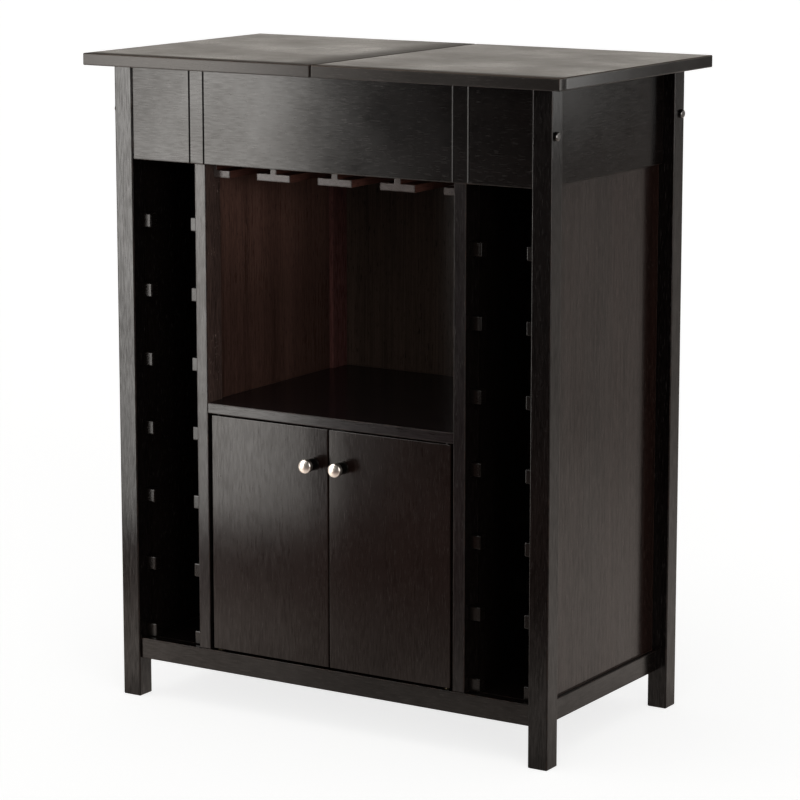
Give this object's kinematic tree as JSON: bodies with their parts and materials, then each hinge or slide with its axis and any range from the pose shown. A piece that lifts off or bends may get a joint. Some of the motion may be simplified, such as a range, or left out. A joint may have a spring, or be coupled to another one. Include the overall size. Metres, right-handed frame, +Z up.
{
  "type": "wine cabinet",
  "caption": "Upright dark wood wine cabinet: bottle bays at the sides, stemware rails over an open shelf, a cupboard with doors, and a top of sliding leaves over a well.",
  "frame": {"origin": "on the floor, under the middle of the closed top", "axes": "+Z up, -Y out of the front with the doors, +X to the right as seen from the front"},
  "size_m": [0.77, 0.44, 0.94],
  "materials": {
    "frame_lacquer": "dark espresso stain under satin lacquer",
    "top_lacquer": "dark espresso stain under satin lacquer, grain along the width",
    "veneer_lacquer": "dark espresso veneer under glossy lacquer, upright grain",
    "bay_veneer": "reddish brown veneer under satin lacquer, upright grain",
    "bare_stain": "reddish brown stain, thin lacquer",
    "satin_nickel": "satin nickel plate",
    "black_hardware": "black oxide",
    "zinc_steel": "zinc plate",
    "bush_brass": "plain turned brass"
  },
  "bodies": {
    "cabinet": {"back_panel": "bay_veneer", "barrel_nuts": "zinc_steel", "centre_stemware_rail": "bare_stain", "connector_bolts": "black_hardware", "display_shelf": "frame_lacquer", "floor_cleats": "frame_lacquer", "floor_panel": "frame_lacquer", "front_apron": "frame_lacquer", "front_bottom_rail": "frame_lacquer", "front_left_leg": "frame_lacquer", "front_right_leg": "frame_lacquer", "front_track": "frame_lacquer", "left_bay_inner_blocks": "bare_stain", "left_bay_outer_blocks": "bare_stain", "left_bottom_rail": "frame_lacquer", "left_divider_panel": "bay_veneer", "left_front_stile": "frame_lacquer", "left_half_stemware_rail": "bare_stain", "left_rear_stile": "frame_lacquer", "left_side_apron": "frame_lacquer", "left_side_panel": "veneer_lacquer", "left_stemware_rail": "bare_stain", "magnetic_catch": "black_hardware", "pivot_bushes": "bush_brass", "rear_apron": "frame_lacquer", "rear_bottom_rail": "frame_lacquer", "rear_left_leg": "frame_lacquer", "rear_right_leg": "frame_lacquer", "rear_track": "frame_lacquer", "right_bay_inner_blocks": "bare_stain", "right_bay_outer_blocks": "bare_stain", "right_bottom_rail": "frame_lacquer", "right_divider_panel": "bay_veneer", "right_front_stile": "frame_lacquer", "right_half_stemware_rail": "bare_stain", "right_rear_stile": "frame_lacquer", "right_side_apron": "frame_lacquer", "right_side_panel": "veneer_lacquer", "right_stemware_rail": "bare_stain", "well_floor": "frame_lacquer"},
    "left_leaf": {"left_leaf_front_runner": "frame_lacquer", "left_leaf_rear_runner": "frame_lacquer", "left_runner_screws": "zinc_steel", "left_top_leaf": "top_lacquer"},
    "right_leaf": {"right_leaf_front_runner": "frame_lacquer", "right_leaf_rear_runner": "frame_lacquer", "right_runner_screws": "zinc_steel", "right_top_leaf": "top_lacquer"},
    "left_door": {"left_door": "veneer_lacquer", "left_knob": "satin_nickel", "left_knob_screw": "zinc_steel", "left_pivot_pins": "black_hardware", "left_strike_plate": "zinc_steel"},
    "right_door": {"right_door": "veneer_lacquer", "right_knob": "satin_nickel", "right_knob_screw": "zinc_steel", "right_pivot_pins": "black_hardware", "right_strike_plate": "zinc_steel"}
  },
  "joints": [
    {"name": "left_leaf_slide", "type": "slide", "parent": "cabinet", "child": "left_leaf", "axis": [-1, 0, 0], "range_m": [0, 0.175]},
    {"name": "right_leaf_slide", "type": "slide", "parent": "cabinet", "child": "right_leaf", "axis": [1, 0, 0], "range_m": [0, 0.175]},
    {"name": "left_door_hinge", "type": "hinge", "parent": "cabinet", "child": "left_door", "pos_m": [-0.19, -0.1705, 0.26075], "axis": [0, 0, -1], "range_deg": [0, 100]},
    {"name": "right_door_hinge", "type": "hinge", "parent": "cabinet", "child": "right_door", "pos_m": [0.19, -0.1705, 0.26075], "axis": [0, 0, 1], "range_deg": [0, 100]}
  ]
}
